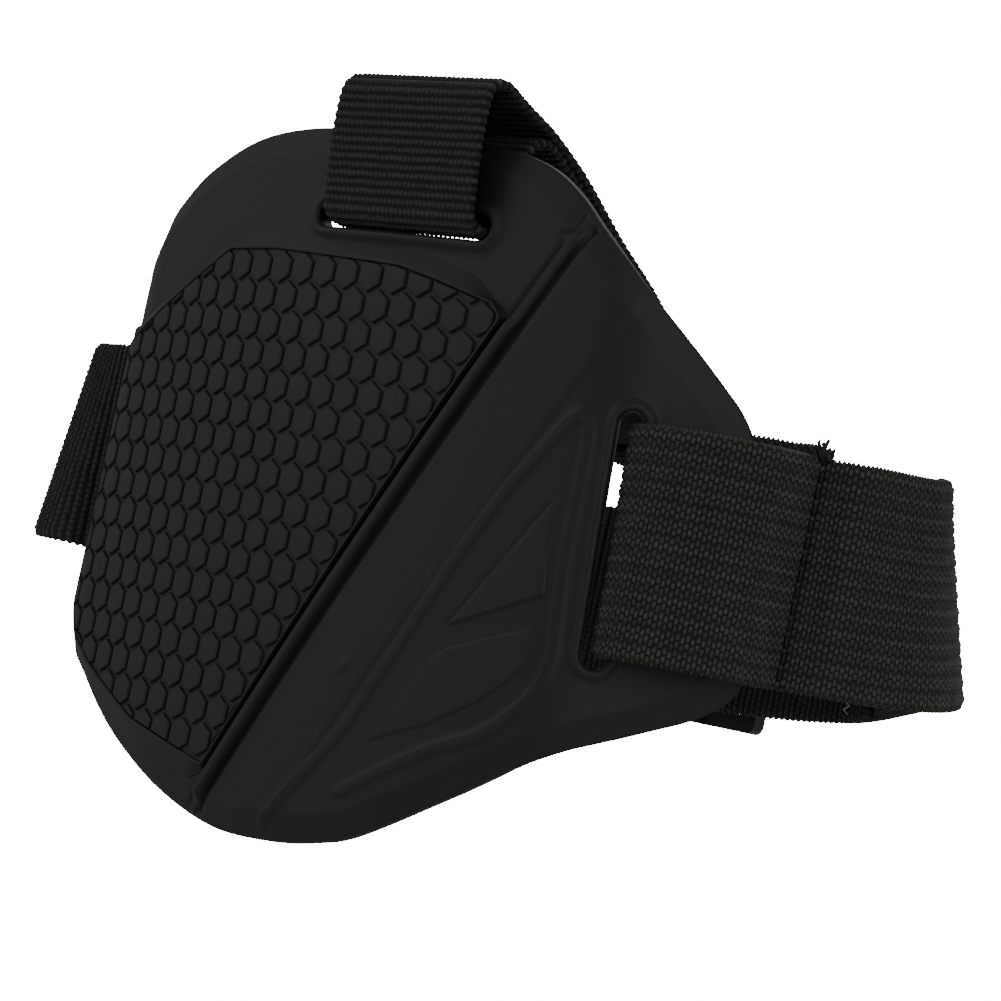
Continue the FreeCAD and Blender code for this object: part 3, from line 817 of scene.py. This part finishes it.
LEFT += [(PLUG_BAR_X + x, y, BUCKLE_Z, 0) for x, y in (
    (-8.7, 45.2), (-3.3, 45.2), (-0.8, 46.3), (0, 49.1), (-0.9, 52.1), (-3.5, 53.3), (-8.7, 53.3))]
LEFT += [(-99, 52.8, BUCKLE_Z, 0), (-105.5, 50, BUCKLE_Z, 0), (-111, 43.5, BUCKLE_Z, 0),
         (-114.2, 34, BUCKLE_Z, 0), (-115.2, 23, BUCKLE_Z, 0)]
# the top strap's side view: points (y, z), from its free end through the slot to the rear loop
TOP = [
    (-35, 56.6), (-41, 60.6), (-45.5, 63.3), (-49, 63.8), (-51.6, 61.3), (-53, 56), (-53.1, 50.6),
    (-54.5, 47.3), (-57.6, 46.3), (-60.9, 47.7), (-61.9, 52), (-62.4, 59), (-62.7, 66),
    (-62, 70), (-58.8, 71.3), (-54.1, 69.2), (-50, 67.3), (-46, 65.3), (-38, 60.2),
    (-27.4, 52.4), (-15, 44.1), (-2, 35.6), (12, 28.8), (24, 25.8), (33, 24.8), (38, 24.4),
    (44, 24.1), (49.5, 23.9), (52.8, 23.2), (54.5, 20.8), (53.4, 18.4), (51.2, 17.7), (48.7, 18.7),
    (46.4, 20.5), (43, 21.5), (38, 22), (33, 22.4),
]
TOP_PAST_SLOT = 11
TOP_FRONT_X, TOP_REAR_X = 12.6, -8.5
# places of the sewn lines, as point numbers along each path
TOP_SEAM, REAR_LOOP_SEAM = 17.7, 24.0
SPLICE_SEAM, SOCKET_FOLD_SEAM = 1.0, 14.0
HEM_FROM_END = 3.0


def top_points():
    """The top strap's path, which moves sideways between the shell and the rear loop."""
    points = []
    for i, (y, z) in enumerate(TOP):
        x = TOP_FRONT_X
        if i >= TOP_PAST_SLOT:
            shift = float(step(y, -14, 32))
            run = min(max((y + 56) / 14.0, 0.0), 1.0)
            x += (TOP_REAR_X - TOP_FRONT_X) * shift + 0.9 * run * (1 - shift) - 0.4 * (1 - run)
        points.append((x, y, z))
    return points


TOP_PATH = top_points()


def path_length(points, index):
    """Length of webbing from a path's start to one of its points."""
    rows = curve_through(points, PATH_STEPS)[:, :3]
    length = np.r_[0, np.cumsum(np.linalg.norm(np.diff(rows, axis=0), axis=1))]
    return length[int(index * PATH_STEPS)]


def along_strap(points, pitch, flat_x=False):
    """Even stations along a strap: distance, middle, width direction and face normal."""
    rows = curve_through(points, PATH_STEPS)
    length = np.r_[0, np.cumsum(np.linalg.norm(np.diff(rows[:, :3], axis=0), axis=1))]
    count = int(length[-1] / pitch)
    s = np.arange(count + 1) * (length[-1] / count)
    rows = np.column_stack([np.interp(s, length, rows[:, k]) for k in range(rows.shape[1])])
    centre = rows[:, :3]
    tangent = np.roll(centre, -3, 0) - np.roll(centre, 3, 0)
    tangent[:3] = centre[3] - centre[0]
    tangent[-3:] = centre[-1] - centre[-4]
    if flat_x:
        tangent[:, 0] = 0
        tangent /= np.linalg.norm(tangent, axis=1)[:, None]
        across = np.tile([1.0, 0, 0], (len(s), 1))
    else:
        tangent[:, 2] = 0
        tangent /= np.linalg.norm(tangent, axis=1)[:, None]
        lean = np.radians(rows[:, 3])[:, None]
        left = np.column_stack([-tangent[:, 1], tangent[:, 0], np.zeros(len(s))])
        across = np.array([[0, 0, 1.0]]) * np.cos(lean) + left * np.sin(lean)
    normal = np.cross(tangent, across)
    normal /= np.linalg.norm(normal, axis=1)[:, None]
    return s, centre, across, normal


def weave_rows(t, parity):
    """Rise of small upright beads in staggered rows, in faint bands along the strap."""
    row = 0.5 + 0.5 * np.cos(2 * np.pi * (t / ROW_YARN + ROW_STAGGER * parity))
    band = 0.5 + 0.5 * np.cos(2 * np.pi * t / 2.9 + 0.6)
    return 0.50 * row ** 0.8 * (0.72 + 0.28 * band) + 0.08 * band


def weave_ribs(t, parity):
    """Rise of plain ribs across the strap, each a row of yarns."""
    row = 0.5 + 0.5 * np.cos(2 * np.pi * (t / RIB_YARN + RIB_STAGGER * parity))
    return (0.38 + 0.26 * row) * (0.85 + 0.15 * parity)


def strap_mesh(points, beads, fine_side, flat_x, pinch):
    """A woven strap: its fine side carries every bead, its other side the ribs alone.

    Returns points, faces, a place on the weave for each point, and the stations along the strap.
    """
    if beads:
        pitch, yarn, cuts, drop = ROW_PITCH, ROW_YARN, 2, 0.40
    else:
        pitch, yarn, cuts, drop = RIB_PITCH, RIB_YARN, 4, 0.42
    s, centre, across, normal = along_strap(points, pitch / cuts, flat_x)
    k = np.arange(len(s))
    peak = 0.5 + 0.5 * np.cos(2 * np.pi * k / cuts)
    peak = np.maximum(peak, 0) ** 0.7
    parity = ((k + cuts // 2) // cuts) % 2
    half_w, half_t = WEB_WIDTH / 2.0, WEB_THICK / 2.0
    flat_half = half_w - 0.45
    t_fine = np.linspace(-flat_half, flat_half, 113)
    t_back = np.linspace(flat_half, -flat_half, 29)
    top = np.zeros((len(s), len(t_fine), 2))
    top[:, :, 0] = t_fine[None, :]
    weave = weave_rows if beads else weave_ribs
    rise = weave(t_fine[None, :], parity[:, None]) * peak[:, None]
    fade = np.clip((half_w - np.abs(t_fine)) / 1.2, 0.35, 1.0)[None, :]
    top[:, :, 1] = half_t - drop + rise * fade
    if pinch is not None:
        top[:, :, 1] -= 1.0 * np.exp(-((s - pinch) / 0.95) ** 2)[:, None]
    low = np.zeros((len(s), len(t_back), 2))
    low[:, :, 0] = t_back[None, :]
    low[:, :, 1] = -(half_t - 0.30 + 0.34 * peak[:, None])
    edge = []
    for sign in (1, -1):
        corner = np.zeros((len(s), 3, 2))
        bulge = half_w - 0.30 + 0.50 * peak
        for point, (inset, level) in enumerate(((0.14, 0.45), (0.0, 0.0), (0.14, -0.45))):
            corner[:, point, 0] = sign * (bulge - inset)
            corner[:, point, 1] = sign * half_t * level
        edge.append(corner)
    section = np.concatenate([top, edge[0], low, edge[1]], axis=1)
    section[:, :, 1] *= fine_side
    pos = (centre[:, None, :] + across[:, None, :] * section[:, :, :1]
           + normal[:, None, :] * section[:, :, 1:])
    n, m = pos.shape[:2]
    verts = pos.reshape(-1, 3) * MM
    faces = []
    for i in range(n - 1):
        a, b = i * m, (i + 1) * m
        for j in range(m):
            q = (j + 1) % m
            quad = (a + j, a + q, b + q, b + j)
            faces.append(quad if fine_side > 0 else quad[::-1])
    for row, flip in ((0, fine_side > 0), (n - 1, fine_side < 0)):
        ring = [row * m + j for j in range(m)]
        for j in range(m // 2 - 1):
            quad = (ring[j], ring[j + 1], ring[m - 2 - j], ring[m - 1 - j])
            faces.append(quad[::-1] if flip else quad)
    place = np.stack([np.broadcast_to(k[:, None] / cuts + 0.5, (n, m)),
                      section[:, :, 0] / yarn + 0.5], -1).reshape(-1, 2)
    return verts, faces, place, (s, centre, across, normal)


def make_strap(name, node, body, points, beads=False, fine_side=-1, flat_x=False, pinch=None):
    verts, faces, place, stations = strap_mesh(points, beads, fine_side, flat_x, pinch)
    mat = row_webbing if beads else rib_webbing
    obj = add_piece(name, verts, faces, mat, body, node, slot="webbing")
    layer = obj.data.uv_layers.new(name="weave")
    corners = np.zeros(len(obj.data.loops), dtype=np.int32)
    obj.data.loops.foreach_get("vertex_index", corners)
    layer.data.foreach_set("uv", place[corners].astype(np.float32).ravel())
    return obj, stations


right_seam = path_length(RIGHT, LOOP_SEAM)
_, right_st = make_strap("right_webbing", "right_strap", "guard", RIGHT, beads=True, fine_side=1,
                         pinch=right_seam)
_, back_st = make_strap("back_webbing", "back_strap", "guard", BACK)
left_web, left_st = make_strap("left_webbing", "left_strap", None, LEFT)
top_web, top_st = make_strap("top_webbing", "top_strap", None, TOP_PATH, flat_x=True)
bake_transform(left_web)
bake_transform(top_web)


# ---- sewing ------------------------------------------------------------------------------------
SEAM_HALF = 17.6
STITCHES, STITCH_LENGTH, STITCH_RADIUS = 13, 2.1, 0.26
ZIGZAGS, ZIGZAG_WIDTH, ZIGZAG_RADIUS = 22, 1.7, 0.2
TUFT_ENDS, TUFT_RADIUS = 9, 0.38


def thread_tube(path, radius, sides=6):
    """A closed tube along a path, thinner at both ends."""
    path = np.array(path, float)
    verts, faces = [], []
    for i, p in enumerate(path):
        t = path[min(i + 1, len(path) - 1)] - path[max(i - 1, 0)]
        t /= np.linalg.norm(t)
        a = np.cross(t, [0.3, 0.5, 0.81])
        a /= np.linalg.norm(a)
        b = np.cross(t, a)
        r = radius * (0.45 if i in (0, len(path) - 1) else 1.0)
        for k in range(sides):
            w = 2 * math.pi * k / sides
            verts.append(p + a * r * math.cos(w) + b * r * math.sin(w))
    for i in range(len(path) - 1):
        for k in range(sides):
            q = (k + 1) % sides
            faces.append((i * sides + k, i * sides + q, (i + 1) * sides + q, (i + 1) * sides + k))
    faces.append(tuple(range(sides))[::-1])
    faces.append(tuple((len(path) - 1) * sides + k for k in range(sides)))
    return verts, faces


def sew(name, node, body, thread, stations, at, side, zigzag=False, lift=1.05, tuft=False):
    """A line of stitches across a strap, at a length along it and on one side of it."""
    s, centre, across, normal = stations
    k = int(np.argmin(np.abs(s - at)))
    c, w, n = centre[k], across[k], normal[k] * side
    along = np.cross(w, normal[k])
    verts, faces = [], []

    def add(path, radius):
        v, f = thread_tube(path, radius)
        base = len(verts)
        verts.extend(v)
        faces.extend(tuple(i + base for i in face) for face in f)

    if zigzag:
        path = []
        for i in range(ZIGZAGS * 2 + 1):
            t = -SEAM_HALF + SEAM_HALF * i / ZIGZAGS
            shift = ZIGZAG_WIDTH / 2 * (1 if i % 2 else -1)
            path.append(c + w * t + along * shift + n * lift)
        add(path, ZIGZAG_RADIUS)
    else:
        for i in range(STITCHES):
            start = -SEAM_HALF + 2 * SEAM_HALF * i / STITCHES
            wobble = 0.12 * math.sin(i * 2.7)
            path = []
            for f in (0, 0.2, 0.5, 0.8, 1):
                arch = lift + 0.20 * math.sin(math.pi * f) - 0.12
                path.append(c + w * (start + STITCH_LENGTH * f) + along * (wobble * f) + n * arch)
            add(path, STITCH_RADIUS)
    if tuft:
        for i in range(TUFT_ENDS):
            a = 0.9 * i
            root = c + w * 18.2 + along * (0.5 * math.cos(a) - 0.4) + n * (0.35 * math.sin(a) + 0.2)
            tip = root + w * (3.0 + 0.8 * math.sin(2 * a)) + n * 0.6 * math.cos(a)
            tip = tip + along * (1.3 * math.sin(1.7 * i) - 1.2)
            mid = (root + tip) / 2 + along * 0.6 * math.cos(3 * a)
            add([root, mid, tip], TUFT_RADIUS)
    add_piece(name, np.array(verts) * MM, faces, threads[thread], body, node, slot=thread)


sew("right_seam_thread", "right_seam_stitching", "guard", "black_thread", right_st,
    right_seam, 1, lift=0.25, tuft=True)
sew("left_seam_thread", "left_seam_stitching", "guard", "black_thread", left_st,
    path_length(LEFT, LOOP_SEAM), -1)
sew("top_seam_thread", "top_seam_stitching", "guard", "black_thread", top_st,
    path_length(TOP_PATH, TOP_SEAM), -1)
sew("splice_thread", "splice_stitching", "guard", "white_thread", back_st,
    path_length(BACK, SPLICE_SEAM), -1, zigzag=True)
sew("socket_fold_thread", "socket_fold_stitching", "guard", "black_thread", back_st,
    path_length(BACK, SOCKET_FOLD_SEAM), -1)
sew("rear_loop_thread", "rear_loop_stitching", "rear_loop", "black_thread", top_st,
    path_length(TOP_PATH, REAR_LOOP_SEAM), -1)
sew("tail_hem_thread", "tail_hem_stitching", "plug", "black_thread", left_st,
    left_st[0][-1] - HEM_FROM_END, 1)

# the buckle's parts and the slider keep their frame shapes
for node in ("buckle_socket", "buckle_plug", "upper_release_arm", "lower_release_arm",
             "top_strap_slider"):
    mesh = bpy.data.objects[node].data
    mesh.materials.clear()
    mesh.materials.append(plastic)

# ---- light, floor and background ---------------------------------------------------------------
# strength of the room's light, of the white background seen by the camera, and of the softboxes
ROOM, PAPER = 0.33, 22.0
KEY, FILL, REAR = 2.2, 3.4, 5.0
FLOOR_HALF, FLOOR_Z = 2.2, -0.75

world = bpy.data.worlds.new("world")
bpy.context.scene.world = world
world.use_nodes = True
tree = world.node_tree
room = tree.nodes["Background"]
room.inputs[0].default_value = (1, 1, 1, 1)
room.inputs[1].default_value = ROOM
white = tree.nodes.new("ShaderNodeBackground")
white.inputs[0].default_value = (1, 1, 1, 1)
white.inputs[1].default_value = PAPER
seen = tree.nodes.new("ShaderNodeLightPath")
mix = tree.nodes.new("ShaderNodeMixShader")
tree.links.new(seen.outputs["Is Camera Ray"], mix.inputs[0])
tree.links.new(room.outputs[0], mix.inputs[1])
tree.links.new(white.outputs[0], mix.inputs[2])
tree.links.new(mix.outputs[0], tree.nodes["World Output"].inputs["Surface"])


def softbox(name, place, size, power):
    light = bpy.data.lights.new(name, "AREA")
    light.shape = "RECTANGLE"
    light.size, light.size_y = size
    light.energy = power
    obj = bpy.data.objects.new(name, light)
    bpy.context.scene.collection.objects.link(obj)
    obj.location = place
    obj.rotation_euler = (-Vector(place)).to_track_quat("-Z", "Y").to_euler()


softbox("key_softbox", (-0.95, -1.15, 0.55), (0.8, 0.8), KEY)
softbox("fill_softbox", (1.25, -0.60, 0.35), (0.8, 1.0), FILL)
softbox("back_softbox", (-0.35, 0.85, 1.25), (1.0, 0.8), REAR)

floor_mesh = bpy.data.meshes.new("studio_floor")
floor_corners = [(x * FLOOR_HALF, y * FLOOR_HALF, FLOOR_Z)
                 for x, y in ((-1, -1), (1, -1), (1, 1), (-1, 1))]
floor_mesh.from_pydata(floor_corners, [], [(0, 1, 2, 3)])
floor = bpy.data.objects.new("studio_floor", floor_mesh)
bpy.context.scene.collection.objects.link(floor)
pale, _, _, pale_shader = new_material("pale_floor")
pale_shader.inputs["Base Color"].default_value = (0.82, 0.82, 0.82, 1)
pale_shader.inputs["Roughness"].default_value = 0.9
pale_shader.inputs["Emission Color"].default_value = (1, 1, 1, 1)
pale_shader.inputs["Emission Strength"].default_value = 2.0
floor_mesh.materials.append(pale)
floor.visible_diffuse = False
floor.visible_glossy = False
